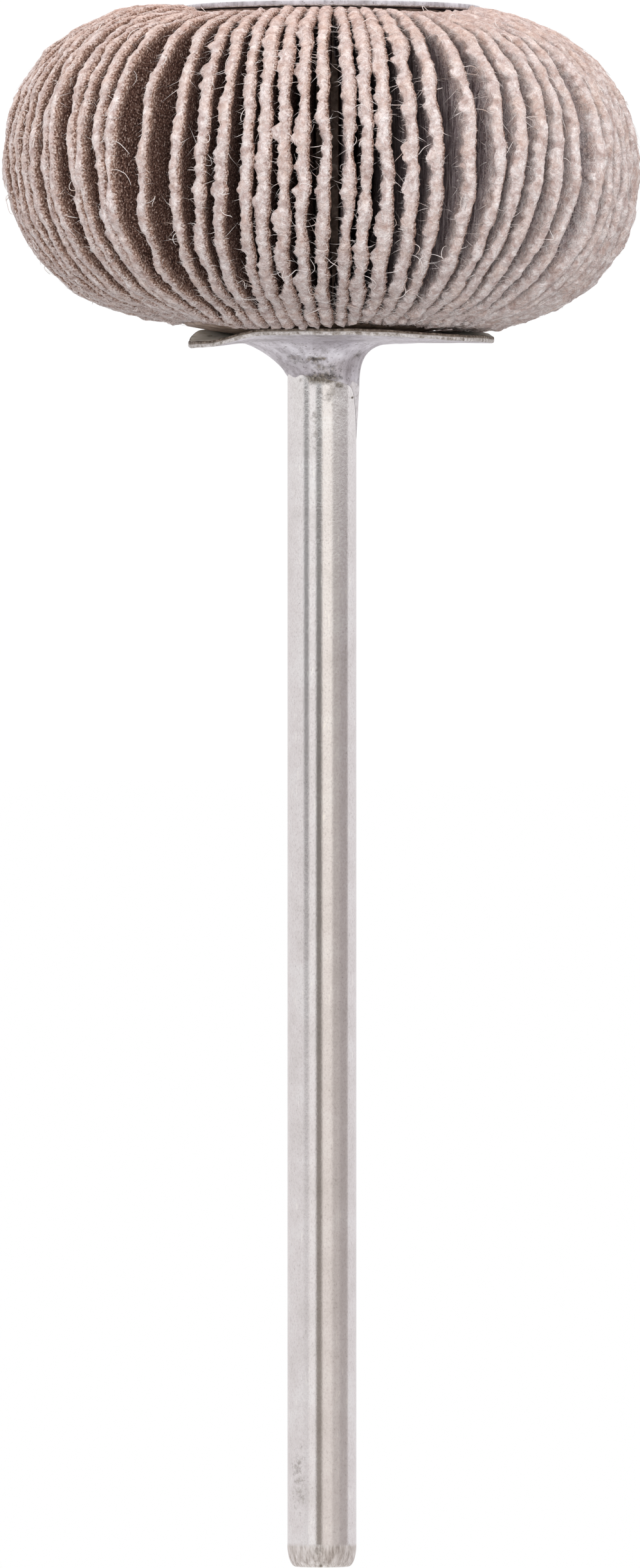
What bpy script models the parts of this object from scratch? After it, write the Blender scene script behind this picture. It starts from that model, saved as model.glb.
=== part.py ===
# Small flap wheel on a plain steel shank, standing on its front disc with the shank up.
# Metres, +Z runs up the shank, and the disc's face lies on z = 0.
# Angles run round the wheel in degrees: the front faces -Y, and positive angles go towards -X.

import math
import random

import bmesh
import bpy

mm = 0.001

# Shank
shank_diameter = 3.2 * mm
overall_length = 72.5 * mm
shank_tip_length = 1.0 * mm
shank_tip_depth = 0.38 * mm
shank_start = 1.3 * mm
shank_start_chamfer = 0.3 * mm

# Hub, made of the bonded roots of the flaps
hub_diameter = 12.8 * mm
hub_rear_inset = 0.08 * mm

# Flaps
wheel_diameter = 29.7 * mm
flap_width = 15 * mm
flap_front = -0.08 * mm
bench_clearance = 0.04 * mm
flap_shoulder_diameter = 11.9 * mm
flap_roundness = 2.17
flap_tip_land = 1.5 * mm
flap_dressing_tilt = 1.2
flap_count = 78
first_flap_angle = -62.4
flap_thickness = 0.42 * mm
flap_frayed_thickness = 0.54 * mm
flap_length_wear = 0.16 * mm
flap_sway = 0.07 * mm
flap_slant = 0.14 * mm
flap_bow = 0.4 * mm
flap_bend_power = 1.4
flap_root_fill = 0.88
flap_seed = 30

# How the flaps that show in the photo lean, from the first one on, in millimetres at the tip:
# the shift towards -X, and the slant from the wheel's middle to its rear
front_leans = (
    (0.05, 0),
    (-0.45, 0.35),
    (0.05, 0.35),
    (-0.65, 0),
    (-0.55, 0.1),
    (-1.05, -0.4),
    (-0.3, -0.65),
    (0.35, -0.5),
    (0.4, -0.6),
    (0.3, -0.55),
    (0.3, -0.25),
    (0, -0.3),
    (-0.35, -0.2),
    (-0.65, -0.15),
    (-0.85, 0),
    (-0.9, -0.2),
    (-1.25, -0.1),
    (-1.5, 0.15),
    (-1.45, 0.15),
    (-1.45, -0.05),
    (-0.9, -0.2),
    (-0.55, -0.6),
    (-0.55, -1),
    (-0.35, -1.25),
    (-0.3, -0.95),
    (-0.15, -0.65),
    (0.75, -0.35),
    (0.75, -0.25),
)

# Places where the other flaps have parted, as angle and opening at the tips
partings = (
    (57, 1.6 * mm),
    (79, 0.4 * mm),
    (101, 0.6 * mm),
    (123, 0.45 * mm),
    (146, 0.8 * mm),
    (171, 0.5 * mm),
    (-164, 0.7 * mm),
    (-139, 0.45 * mm),
    (-118, 0.75 * mm),
    (-91, 0.5 * mm),
)
parting_reach = 8

# Front disc
disc_diameter = 13.8 * mm
disc_thickness = 0.25 * mm
disc_shift = 0.45 * mm
disc_edge_round = 0.06 * mm
disc_gap = 0.25 * mm

# Rear flange, a dished washer with a collar drawn up round the shank
flange_diameter = 14.2 * mm
flange_thickness = 0.3 * mm
flange_shift = 0.9 * mm
flange_edge_round = 0.07 * mm
flange_dish = 0.45 * mm
flange_gap = 0.08 * mm
collar_lip = 0.09 * mm
collar_bend = 0.4 * mm
left_reach = 1.9 * mm
left_height = 1.35 * mm
left_curve = 0.74
right_reach = 1.6 * mm
right_height = 2.1 * mm
right_curve = 0.5

# Knocks that lift the flange's rim, at the front and then further on its left and right
front_lift = 0.25 * mm
left_lift = 0.48 * mm
right_lift = 0.22 * mm
flange_slope_power = 1.2

# Angles between which each knock fades in, counted from the front
front_lift_fade = (122, 85)
left_lift_start = (22, 56)
left_lift_fade = (122, 80)
right_lift_start = (5, 60)

# Fits and facets
fit_clearance = 0.05 * mm
shank_facets = 48
disc_facets = 64
flange_facets = 72
tip_steps = 6
flap_steps = 7
flare_steps = 8
bend_steps = 2
cutter_overrun = 1 * mm

# Sizes that follow from those above
shank_radius = shank_diameter / 2
hub_radius = hub_diameter / 2
wheel_radius = wheel_diameter / 2
flap_pitch = math.tau / flap_count
flap_angles = [first_flap_angle + 360 * index / flap_count for index in range(flap_count)]
disc_radius = disc_diameter / 2
flange_radius = flange_diameter / 2
bore_radius = shank_radius + fit_clearance
hub_front = disc_thickness + fit_clearance
hub_rear = flap_front + flap_width - hub_rear_inset
flap_middle = flap_front + flap_width / 2
shoulder_radius = flap_shoulder_diameter / 2
flange_inner = hub_rear + fit_clearance + flange_dish
flange_outer = flange_inner + flange_thickness


def clearScene():
    for old in list(bpy.data.objects):
        bpy.data.objects.remove(old, do_unlink=True)


def makeMaterial(name, colour, roughness, metallic):
    material = bpy.data.materials.new(name)
    material.use_nodes = True
    shader = material.node_tree.nodes["Principled BSDF"]
    shader.inputs["Base Color"].default_value = (*colour, 1)
    shader.inputs["Roughness"].default_value = roughness
    shader.inputs["Metallic"].default_value = metallic
    material.diffuse_color = (*colour, 1)
    return material


def addPart(name, bm, material, crease=35):
    bmesh.ops.recalc_face_normals(bm, faces=bm.faces)
    mesh = bpy.data.meshes.new(name)
    bm.to_mesh(mesh)
    bm.free()
    mesh.materials.append(material)
    mesh.shade_smooth()
    mesh.set_sharp_from_angle(angle=math.radians(crease))
    part = bpy.data.objects.new(name, mesh)
    bpy.context.scene.collection.objects.link(part)
    return part


def spinSection(points, facets, closed):
    # Revolves (radius, height) points about Z and remembers which point each vertex came from
    bm = bmesh.new()
    station = bm.verts.layers.int.new("station")
    verts = []
    for index, (radius, height) in enumerate(points):
        vert = bm.verts.new((radius, 0, height))
        vert[station] = index
        verts.append(vert)
    pairs = list(zip(verts, verts[1:]))
    if closed:
        pairs.append((verts[-1], verts[0]))
    edges = [bm.edges.new(pair) for pair in pairs]
    bmesh.ops.spin(
        bm,
        geom=verts + edges,
        axis=(0, 0, 1),
        cent=(0, 0, 0),
        angle=math.tau,
        steps=facets,
        use_merge=True,
    )
    bmesh.ops.remove_doubles(bm, verts=bm.verts, dist=0.001 * mm)
    return bm


def viewAngle(x, y):
    return math.degrees(math.atan2(-x, -y))


def angleBetween(a, b):
    return (a - b + 180) % 360 - 180


def quarterTurns(steps):
    return [math.radians(90 * step / steps) for step in range(steps + 1)]


def smoothStep(value, span):
    start, end = span
    share = min(max((value - start) / (end - start), 0), 1)
    return share * share * (3 - 2 * share)


def rimReach(angle, radius, shift):
    # Distance from the shank's axis to the rim of a disc whose middle lies shift towards -X
    side = shift * math.sin(math.radians(angle))
    along = shift * math.cos(math.radians(angle))
    return side + math.sqrt(radius * radius - along * along)


def buildShank(steel):
    rounding = [
        (
            shank_radius - shank_tip_depth * (1 - math.cos(turn)),
            overall_length - shank_tip_length * (1 - math.sin(turn)),
        )
        for turn in quarterTurns(tip_steps)
    ]
    section = [
        (0, shank_start),
        (shank_radius - shank_start_chamfer, shank_start),
        (shank_radius, shank_start + shank_start_chamfer),
        *rounding,
        (0, overall_length),
    ]
    return addPart("shank", spinSection(section, shank_facets, False), steel)


def flapEdge(angle, radius, side):
    # Height of the dressed edge at this radius, on the front (-1) or rear (1) side
    share = min(max((radius - shoulder_radius) / (wheel_radius - shoulder_radius), 0), 1)
    half = flap_width / 2 * (1 - share**flap_roundness) ** (1 / flap_roundness)
    tilt = math.tan(math.radians(flap_dressing_tilt)) * math.sin(math.radians(angle))
    return flap_middle + radius * tilt + side * max(half, flap_tip_land / 2)


def flapOutline(angle, tip_radius, side, seat, seat_height, gap):
    # Points (radius, height) from the disc or flange that covers the flap's root out to its tip
    start = max(seat + gap, hub_radius + gap)
    wall = start + gap
    points = [(start, seat_height)]
    for turn in quarterTurns(flap_steps):
        reach = math.sin(turn)
        radius = wall + (tip_radius - wall) * reach
        unworn = wall + (wheel_radius - wall) * reach
        points.append((radius, max(flapEdge(angle, unworn, side), bench_clearance)))
    return points


def flapStations(angle, tip_radius):
    # Matching points of the flap's front and rear edge
    disc_rim = rimReach(angle, disc_radius, disc_shift)
    front = flapOutline(angle, tip_radius, -1, disc_rim, disc_thickness + disc_gap, disc_gap)
    flange_rim = rimReach(angle, flange_radius, flange_shift)
    room = flange_inner - flange_dish + flangeLift(angle) - flange_gap
    under = min(room, flapEdge(angle, flange_rim, 1))
    rear = flapOutline(angle, tip_radius, 1, flange_rim, under, flange_gap)
    return list(zip(front, rear))


def flapThickness(radius):
    bent = (radius - hub_radius) / (wheel_radius - hub_radius)
    frayed = flap_thickness + (flap_frayed_thickness - flap_thickness) * bent
    return min(frayed, flap_root_fill * flap_pitch * radius)


def flapHeading(angle):
    # The usual angle from +X, which runs against this file's angles
    return math.radians(-90 - angle)


def flapLean(index, angle, chance):
    # Shift and slant of a flap's tip towards -X, measured at the front and pushed by partings elsewhere
    if index < len(front_leans):
        shift, slant = front_leans[index]
        return shift * mm, slant * mm
    shift = flap_sway * chance.uniform(-1, 1)
    for place, opening in partings:
        away = angleBetween(angle, place)
        shift += math.copysign(opening / 2, away) * math.exp(-abs(away) / parting_reach)
    return shift, flap_slant * chance.uniform(-1, 1)


def flapCorners(face, heading):
    # The face's corners in order round it, from its front end
    across = (-math.sin(heading), math.cos(heading))
    verts = sorted(face.verts, key=lambda vert: vert.co.z)
    low = sorted(verts[:2], key=lambda vert: vert.co.x * across[0] + vert.co.y * across[1])
    high = sorted(verts[2:], key=lambda vert: vert.co.x * across[0] + vert.co.y * across[1])
    return (low[0], low[1], high[1], high[0])


def growFlap(bm, face, index, chance):
    angle = flap_angles[index]
    heading = flapHeading(angle)
    tip_radius = wheel_radius - flap_length_wear * chance.random()
    shift, slant = flapLean(index, angle, chance)
    for front, rear in flapStations(angle, tip_radius):
        face = bmesh.ops.extrude_discrete_faces(bm, faces=[face])["faces"][0]
        corners = flapCorners(face, heading)
        for vert, side, point in zip(corners, (-0.5, 0.5, 0.5, -0.5), (front, front, rear, rear)):
            radius, height = point
            bent = (radius - hub_radius) / (wheel_radius - hub_radius)
            rise = (height - flap_middle) / (flap_width / 2)
            lean = (shift + slant * rise + flap_bow * (1 - rise * rise)) * bent**flap_bend_power
            turn = heading + (side * flapThickness(radius) - lean) / radius
            vert.co = (radius * math.cos(turn), radius * math.sin(turn), height)


def buildFlapPack(cloth):
    chance = random.Random(flap_seed)
    half = flapThickness(hub_radius) / hub_radius / 2
    bm = bmesh.new()
    outline = [
        bm.verts.new((hub_radius * math.cos(turn), hub_radius * math.sin(turn), hub_front))
        for heading in map(flapHeading, flap_angles)
        for turn in (heading + half, heading - half)
    ]
    base = bm.faces.new(outline)
    raised = bmesh.ops.extrude_face_region(bm, geom=[base], use_keep_orig=True)["geom"]
    top = [item for item in raised if isinstance(item, bmesh.types.BMVert)]
    bmesh.ops.translate(bm, verts=top, vec=(0, 0, hub_rear - hub_front))
    roots = {}
    for face in bm.faces:
        middle = face.calc_center_median()
        angle = viewAngle(middle.x, middle.y)
        index = round((angle - first_flap_angle) / math.degrees(flap_pitch)) % flap_count
        away = abs(angleBetween(angle, flap_angles[index]))
        if len(face.verts) == 4 and away < math.degrees(half) / 2:
            roots[index] = face
    for index in range(flap_count):
        growFlap(bm, roots[index], index, chance)
    pack = addPart("flap_pack", bm, cloth)
    cutBore(pack)
    return pack


def cutBore(pack):
    bm = bmesh.new()
    floor = shank_start - fit_clearance
    depth = hub_rear - floor + cutter_overrun
    bmesh.ops.create_cone(
        bm, cap_ends=True, segments=shank_facets, radius1=bore_radius, radius2=bore_radius, depth=depth
    )
    bmesh.ops.translate(bm, verts=bm.verts, vec=(0, 0, floor + depth / 2))
    mesh = bpy.data.meshes.new("bore_cutter")
    bm.to_mesh(mesh)
    bm.free()
    cutter = bpy.data.objects.new("bore_cutter", mesh)
    bpy.context.scene.collection.objects.link(cutter)
    cutter.hide_render = True
    cutter.display_type = "WIRE"
    cut = pack.modifiers.new("bore", "BOOLEAN")
    cut.operation = "DIFFERENCE"
    cut.solver = "EXACT"
    cut.object = cutter


def buildFrontDisc(zinc):
    edge = disc_edge_round
    section = [
        (0, 0),
        (disc_radius - edge, 0),
        (disc_radius, edge),
        (disc_radius, disc_thickness - edge),
        (disc_radius - edge, disc_thickness),
        (0, disc_thickness),
    ]
    bm = spinSection(section, disc_facets, False)
    bmesh.ops.translate(bm, verts=bm.verts, vec=(-disc_shift, 0, 0))
    return addPart("front_disc", bm, zinc)


def flangeLift(angle):
    # How far the rim stands up from its lowest, which is at the back
    side = abs(angle)
    front = smoothStep(side, front_lift_fade)
    left = smoothStep(-angle, left_lift_start) * smoothStep(side, left_lift_fade)
    right = smoothStep(angle, right_lift_start) * front
    return front_lift * front + left_lift * left + right_lift * right


def flangeSection(angle):
    # The sheet from the bore round the rim and up the collar, at this angle
    left = (1 - math.sin(math.radians(angle))) / 2
    reach = right_reach + (left_reach - right_reach) * left
    height = right_height + (left_height - right_height) * left
    curve = right_curve + (left_curve - right_curve) * left
    rim = rimReach(angle, flange_radius, flange_shift)
    lip = bore_radius + collar_lip
    foot = lip + reach
    half_way = (foot + rim) / 2
    edge = flange_edge_round
    mouth = [
        (
            bore_radius + collar_bend * (1 - math.cos(turn)),
            flange_inner + collar_bend * (1 - math.sin(turn)),
        )
        for turn in quarterTurns(bend_steps)
    ]
    section = [
        *mouth,
        (foot, flange_inner),
        (half_way, flange_inner),
        (rim - edge, flange_inner),
        (rim, flange_inner + edge),
        (rim, flange_outer - edge),
        (rim - edge, flange_outer),
        (half_way, flange_outer),
    ]
    for turn in quarterTurns(flare_steps):
        share = math.sin(turn) ** 2
        out = (1 - share) ** (1 / curve)
        up = share ** (1 / curve)
        section.append((lip + reach * out, flange_outer + height * up))
    section.append((bore_radius, flange_outer + height))
    sloped = []
    for radius, level in section:
        bent = max((radius - foot) / (rim - foot), 0)
        drop = (flangeLift(angle) - flange_dish) * bent**flange_slope_power
        sloped.append((radius, level + drop))
    return sloped


def buildRearFlange(zinc):
    bm = spinSection(flangeSection(0), flange_facets, True)
    station = bm.verts.layers.int["station"]
    for vert in bm.verts:
        turn = math.atan2(vert.co.y, vert.co.x)
        angle = viewAngle(vert.co.x, vert.co.y)
        radius, height = flangeSection(angle)[vert[station]]
        vert.co = (radius * math.cos(turn), radius * math.sin(turn), height)
    return addPart("rear_flange", bm, zinc)


clearScene()
buildShank(makeMaterial("ground steel", (0.42, 0.41, 0.4), 0.4, 1))
buildFlapPack(makeMaterial("worn abrasive cloth", (0.52, 0.38, 0.33), 0.9, 0))
buildFrontDisc(makeMaterial("zinc plated sheet, front", (0.5, 0.5, 0.52), 0.42, 1))
buildRearFlange(makeMaterial("zinc plated sheet, rear", (0.5, 0.5, 0.53), 0.4, 1))
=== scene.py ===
import random
from functools import partial
from math import atan2, copysign, cos, degrees, exp, hypot, pi, radians, sin, sqrt, tan, tau

import bmesh
import bpy
from mathutils import Matrix, Vector, noise


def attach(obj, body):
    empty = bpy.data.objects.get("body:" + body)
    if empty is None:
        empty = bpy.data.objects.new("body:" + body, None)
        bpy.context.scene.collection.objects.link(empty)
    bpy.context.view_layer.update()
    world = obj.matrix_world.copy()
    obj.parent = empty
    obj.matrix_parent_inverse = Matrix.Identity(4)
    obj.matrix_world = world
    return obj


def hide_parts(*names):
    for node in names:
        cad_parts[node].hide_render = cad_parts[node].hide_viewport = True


# Small worn flap wheel on a steel shank, dressed over its CAD frame.
# Sizes are in millimetres unless a note says otherwise, and angles in degrees.
# Angles run round the wheel from the front, which faces -Y, and are positive towards -X.

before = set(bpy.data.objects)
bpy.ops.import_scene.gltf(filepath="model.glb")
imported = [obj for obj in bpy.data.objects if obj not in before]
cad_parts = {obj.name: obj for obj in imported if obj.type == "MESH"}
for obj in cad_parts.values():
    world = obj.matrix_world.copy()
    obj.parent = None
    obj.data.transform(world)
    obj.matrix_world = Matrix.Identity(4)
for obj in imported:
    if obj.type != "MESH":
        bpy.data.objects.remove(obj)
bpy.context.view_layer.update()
mm = 0.001


def toLinear(hexColour):
    # sRGB hex such as "d3bcb0" to linear red, green, blue and alpha
    parts = [int(hexColour[i:i + 2], 16) / 255 for i in (0, 2, 4)]
    linear = [part / 12.92 if part <= 0.04045 else ((part + 0.055) / 1.055) ** 2.4 for part in parts]
    return (*linear, 1)


def perMetre(size):
    # Texture scale for a pattern whose grains are this many millimetres across
    return 1 / (size * mm)


def feed(node, inputs):
    # Inputs are named, or in the node's own order; each is a value or the socket that feeds it
    for name, value in inputs.items() if isinstance(inputs, dict) else enumerate(inputs):
        socket = node.inputs[name]
        if isinstance(value, bpy.types.NodeSocket):
            node.id_data.links.new(value, socket)
        else:
            socket.default_value = value


def addNode(tree, kind, inputs=(), take=0, stops=(), **settings):
    # Adds a node and gives the output to take from it; stops are a ramp's (place, hex)
    made = tree.nodes.new("ShaderNode" + kind)
    for name, value in settings.items():
        setattr(made, name, value)
    feed(made, inputs)
    if stops:
        ramp = made.color_ramp.elements
        while len(ramp) < len(stops):
            ramp.new(1)
        for element, (place, colour) in zip(ramp, stops):
            element.position = place
            element.color = toLinear(colour)
    return made.outputs[take]


# Settings of a Mix node for colours, whose inputs are 0 the share, 6 the colour under and 7 the one over
colourMix = {"take": 2, "data_type": "RGBA"}
multiply = {"blend_type": "MULTIPLY", **colourMix}


def startMaterial(name, patterns, **sockets):
    # A pattern is a noise, as size of its grains, detail, roughness and, if stretched, its scale along Z
    material = bpy.data.materials.new(name)
    material.use_nodes = True
    shader = material.node_tree.nodes["Principled BSDF"]
    feed(shader, {socket.replace("_", " "): value for socket, value in sockets.items()})
    add = partial(addNode, material.node_tree)
    coords = add("TexCoord", take="Object")
    grains = []
    for size, detail, rough, *stretch in patterns:
        vector = add("Mapping", {"Vector": coords, "Scale": (1, 1, *stretch)}) if stretch else coords
        grains.append(add("TexNoise", {"Vector": vector, "Scale": perMetre(size), "Detail": detail,
                                       "Roughness": rough}, take="Fac"))
    return material, shader, add, coords, grains


def cloudyMaterial(name, pattern, stops, **sockets):
    material, shader, add, _, (cloud,) = startMaterial(name, (pattern,), **sockets)
    feed(shader, {"Base Color": add("ValToRGB", (cloud,), stops=stops)})
    return material


def soil(add, clean, dirty, ragged, levels):
    # Dirt covers the places where the mesh's dirt and a ragged pattern add up to enough
    dirt = add("Attribute", take="Fac", attribute_name="dirt")
    mask = add("MapRange", (add("Math", (dirt, ragged), operation="ADD"), *levels))
    return add("Mix", {0: mask, 6: clean, 7: dirty}, **colourMix), mask


def viewAngle(x, y):
    return degrees(atan2(-x, -y))


def angleBetween(a, b):
    return (a - b + 180) % 360 - 180


def smoothStep(value, span):
    start, end = span
    share = min(max((value - start) / (end - start), 0), 1)
    return share * share * (3 - 2 * share)


def dentAt(place, depth, size, seed):
    return depth * noise.noise(Vector((place[0] / size, place[1] / size, place[2] / size + seed)))


def stainAt(angle, height, stains):
    # How dirty this place is: the strongest of the stains (angle, spread, height, spread, amount)
    return max(amount * exp(-(angleBetween(angle, place) / spread) ** 2 - ((height - level) / reach) ** 2)
               for place, spread, level, reach, amount in stains)


def rimReach(angle, radius, shift):
    # Distance from the shank's axis to the rim of a disc whose middle lies shift towards -X
    side = shift * sin(radians(angle))
    along = shift * cos(radians(angle))
    return side + sqrt(radius * radius - along * along)


def quarterTurns(steps):
    return [radians(90 * step / steps) for step in range(steps + 1)]


def roundPoint(radius, turn, height):
    return Vector((radius * cos(turn), radius * sin(turn), height))


def roundedRim(rim, low, high, edge, steps):
    # Both rounded corners of a sheet's rim, as (radius, height)
    turns = quarterTurns(steps)
    corners = [(rim - edge + edge * sin(turn), low + edge - edge * cos(turn)) for turn in turns]
    return corners + [(rim - edge + edge * cos(turn), high - edge + edge * sin(turn)) for turn in turns]


def addObject(name, data):
    made = bpy.data.objects.new(name, data)
    bpy.context.scene.collection.objects.link(made)
    return made


def toMesh(bm, name):
    mesh = bpy.data.meshes.new(name)
    bm.to_mesh(mesh)
    bm.free()
    return mesh


def placeMesh(mesh, name, materials):
    # Millimetres become metres here
    mesh.transform(Matrix.Scale(mm, 4))
    for material in materials:
        mesh.materials.append(material)
    return addObject(name, mesh)


def dressPiece(mesh, name, node, materials, crease=None):
    piece = placeMesh(mesh, name, materials)
    mesh.shade_smooth()
    if crease:
        mesh.set_sharp_from_angle(angle=radians(crease))
    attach(piece, "root")
    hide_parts(node)
    return piece


def finishPiece(bm, name, node, materials, crease=None, wound=False):
    # A mesh that is wound keeps the way its faces look; for any other it is worked out
    bmesh.ops.remove_doubles(bm, verts=bm.verts, dist=0.0005)
    if not wound:
        bmesh.ops.recalc_face_normals(bm, faces=bm.faces)
    return dressPiece(toMesh(bm, name), name, node, materials, crease)


def spinSection(points, facets, closed):
    # Revolves (radius, height) points about Z; each vertex remembers its point as its station
    bm = bmesh.new()
    station = bm.verts.layers.int.new("station")
    verts = []
    for index, (radius, height) in enumerate(points):
        vert = bm.verts.new((radius, 0, height))
        vert[station] = index
        verts.append(vert)
    pairs = list(zip(verts, verts[1:]))
    if closed:
        pairs.append((verts[-1], verts[0]))
    edges = [bm.edges.new(pair) for pair in pairs]
    bmesh.ops.spin(bm, geom=verts + edges, axis=(0, 0, 1), cent=(0, 0, 0), angle=tau,
                   steps=facets, use_merge=True)
    bmesh.ops.remove_doubles(bm, verts=bm.verts, dist=0.0005)
    return bm


cameraPlace = {
    "photoHeight": 2437,
    "shankPixels": 107,
    "shankSize": 3.2,
    "distance": 900,
    "eyeLevel": 40,
    "topRow": -0.31,
    "sidePixels": 3,
    "sensor": 24,
    "nearest": 0.01,
}

studio = {
    "floorSize": 16000,
    "floorColour": "f6f5f4",
    "floorGlow": 0.97,
    "tableLight": 0.88,
    "skyForObject": 0.5,
    "white": "ffffff",
    "tentRadius": 500,
    "tentWall": (0.5, 700),
    "tentFacets": 96,
    # Softboxes as name, place and power, their size, and the place that they are turned to
    "lamps": (("key", (60, -900, 40), 4.8), ("back", (-60, 880, 300), 2.4)),
    "lampSize": (620, 300),
    "aim": (0, 0, 12),
    # What the polished shank mirrors, as start angle, end angle, and the colour low and high
    "tentBands": (
        (-180, -64, "e3dfdf", "e3dfdf"),
        (-61, -46, "000000", "e0dcdc"),
        (-43, -21, "ebe7e6", "efebea"),
        (-18, -2, "1c1612", "989089"),
        (3, 31, "fff8f0", "e3dbd6"),
        (40, 58, "a09894", "c8c0bc"),
        (66, 94, "988f8f", "b6aeac"),
        (99, 180, "e3dfe0", "e3dfe0"),
    ),
    # The low colours give way to the high ones between these heights
    "bandChange": (15, 60),
}


def placeCamera():
    place = cameraPlace
    tall = place["photoHeight"] * place["shankSize"] / place["shankPixels"]
    lens = bpy.data.cameras.new("camera")
    lens.sensor_fit = "VERTICAL"
    lens.sensor_height = place["sensor"]
    lens.lens = place["sensor"] * place["distance"] / tall
    lens.shift_y = -(tall / 2 + place["topRow"] - place["eyeLevel"]) / tall
    lens.shift_x = -place["sidePixels"] / place["photoHeight"]
    lens.clip_start = place["nearest"]
    camera = addObject("camera", lens)
    # The photograph shows the wheel hanging with its shank down, so the level camera is rolled over
    turned = Matrix.Rotation(radians(90), 4, "X") @ Matrix.Rotation(radians(180), 4, "Z")
    spot = (0, -place["distance"] * mm, place["eyeLevel"] * mm)
    camera.matrix_world = Matrix.Translation(spot) @ turned
    bpy.context.scene.camera = camera


def whiteRays(add):
    # One for the rays that should meet plain white: from the camera, a mirror or a glass
    path = add("LightPath").node.outputs
    shiny = add("Math", (path["Is Camera Ray"], path["Is Glossy Ray"]), operation="ADD", use_clamp=True)
    return add("Math", (shiny, path["Is Transmission Ray"]), operation="ADD", use_clamp=True)


def makeWorld():
    world = bpy.data.worlds.new("plain sky")
    world.use_nodes = True
    tree = world.node_tree
    add = partial(addNode, tree)
    white = toLinear(studio["white"])
    plain = tree.nodes["Background"]
    feed(plain, {"Color": white, "Strength": studio["skyForObject"]})
    bright = add("Background", {"Color": white, "Strength": 1})
    both = add("MixShader", (whiteRays(add), plain.outputs[0], bright))
    feed(tree.nodes["World Output"], {"Surface": both})
    bpy.context.scene.world = world


def makeFloor():
    material, shader, add, _, _ = startMaterial("matt white board", (), Roughness=1)
    white = toLinear(studio["white"])
    # A light table: it fills the side of the wheel that faces it
    feed(shader, {"Base Color": toLinear(studio["floorColour"]), "Emission Color": white,
                  "Emission Strength": studio["tableLight"]})
    glow = add("Emission", {"Color": white, "Strength": 1})
    share = add("Math", (whiteRays(add), studio["floorGlow"]), operation="MULTIPLY")
    both = add("MixShader", (share, shader.outputs[0], glow))
    feed(material.node_tree.nodes["Material Output"], {"Surface": both})
    bm = bmesh.new()
    bmesh.ops.create_grid(bm, x_segments=1, y_segments=1, size=studio["floorSize"] / 2)
    floor = placeMesh(toMesh(bm, "floor"), "floor", [material])


def makeTent():
    # A light tent that only polished metal sees: it lays pale and dark strips along the shank
    material, _, add, coords, _ = startMaterial("light tent", ())
    turned = add("Mapping", {"Vector": coords, "Rotation": (0, 0, radians(90))})
    share = add("TexGradient", {"Vector": turned}, take="Fac", gradient_type="RADIAL")
    ramps = []
    for level in (2, 3):
        stops = [(0.5 - angle / 360, band[level]) for band in reversed(studio["tentBands"])
                 for angle in band[1::-1]]
        ramps.append(add("ValToRGB", (share,), stops=stops))
    height = add("SeparateXYZ", (coords,), take="Z")
    above = add("MapRange", (height, *(level * mm for level in studio["bandChange"])))
    colour = add("Mix", {0: above, 6: ramps[0], 7: ramps[1]}, **colourMix)
    glow = add("Emission", {"Color": colour, "Strength": 1})
    feed(material.node_tree.nodes["Material Output"], {"Surface": glow})
    wall = [(studio["tentRadius"], height) for height in studio["tentWall"]]
    bm = spinSection(wall, studio["tentFacets"], False)
    tent = placeMesh(toMesh(bm, "tent"), "tent", [material])
    for rays in ("camera", "diffuse", "transmission", "shadow"):
        setattr(tent, "visible_" + rays, False)


def makeLamp(name, spot, power):
    lamp = bpy.data.lights.new(name, "AREA")
    lamp.shape = "RECTANGLE"
    lamp.size, lamp.size_y = (side * mm for side in studio["lampSize"])
    lamp.energy = power
    softbox = addObject(name, lamp)
    place = Vector(spot) * mm
    turned = (place - Vector(studio["aim"]) * mm).to_track_quat("Z", "Y").to_matrix().to_4x4()
    softbox.matrix_world = Matrix.Translation(place) @ turned
    softbox.visible_glossy = False


bpy.context.scene.view_settings.view_transform = "Standard"
placeCamera()
makeWorld()
makeFloor()
makeTent()
for lampNamed in studio["lamps"]:
    makeLamp(*lampNamed)
print("studio ready")


# The rear flange comes first, because the flaps under it need its shape
flange = {
    "radius": 7.1,
    "thickness": 0.3,
    "shift": 0.9,
    "edgeRound": 0.07,
    "inner": 15.34,
    "dish": 0.45,
    "gap": 0.08,
    "bore": 1.65,
    "collarLip": 0.09,
    "collarBend": 0.4,
    # Reach, height and curve of the collar at either side, and how the height goes over between them
    "collarRight": (2.0, 2.1, 0.44),
    "collarLeft": (1.9, 1.35, 0.8),
    "collarPower": 0.4,
    # How far the rim is bent up, and between which angles
    "frontLift": 0.25,
    "leftLift": 0.48,
    "rightLift": 0.22,
    "slopePower": 1.2,
    "frontLiftFade": (122, 85),
    "leftLiftStart": (22, 56),
    "leftLiftFade": (122, 80),
    "rightLiftStart": (5, 60),
    "facets": 220,
    "bendSteps": 4,
    "flareSteps": 20,
    "slopeSteps": 14,
    "edgeSteps": 3,
    # Dents of the sheet and steps torn in its edge outwards and upwards, as depth, size and seed
    "dents": (0.025, 1.1, 3),
    "torn": ((0.03, 0.7, 9), (0.02, 0.8, 5)),
    # Soiled places as angle, spread of it, height, spread of it and amount
    "stains": (
        (-6, 22, 16.42, 0.2, 0.66),
        (-34, 24, 16.45, 0.36, 0.5),
        (52, 15, 16.2, 0.34, 0.52),
        (6, 56, 16.8, 0.42, 0.47),
        (2, 46, 17.25, 0.3, 0.7),
    ),
    "creaseDarkening": 0.5,
    "creaseRadius": 6,
    "creaseWidth": 0.25,
    "creaseSpread": 45,
    # The skin of solder above the collar
    "skinRadius": 1.606,
    "skinLeast": 0.05,
    "skinShort": 0.15,
    "skinLong": 2.2,
    "skinAngle": 92,
    "skinSpread": 19,
    "skinRagged": (0.25, 0.45, 4),
}


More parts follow.
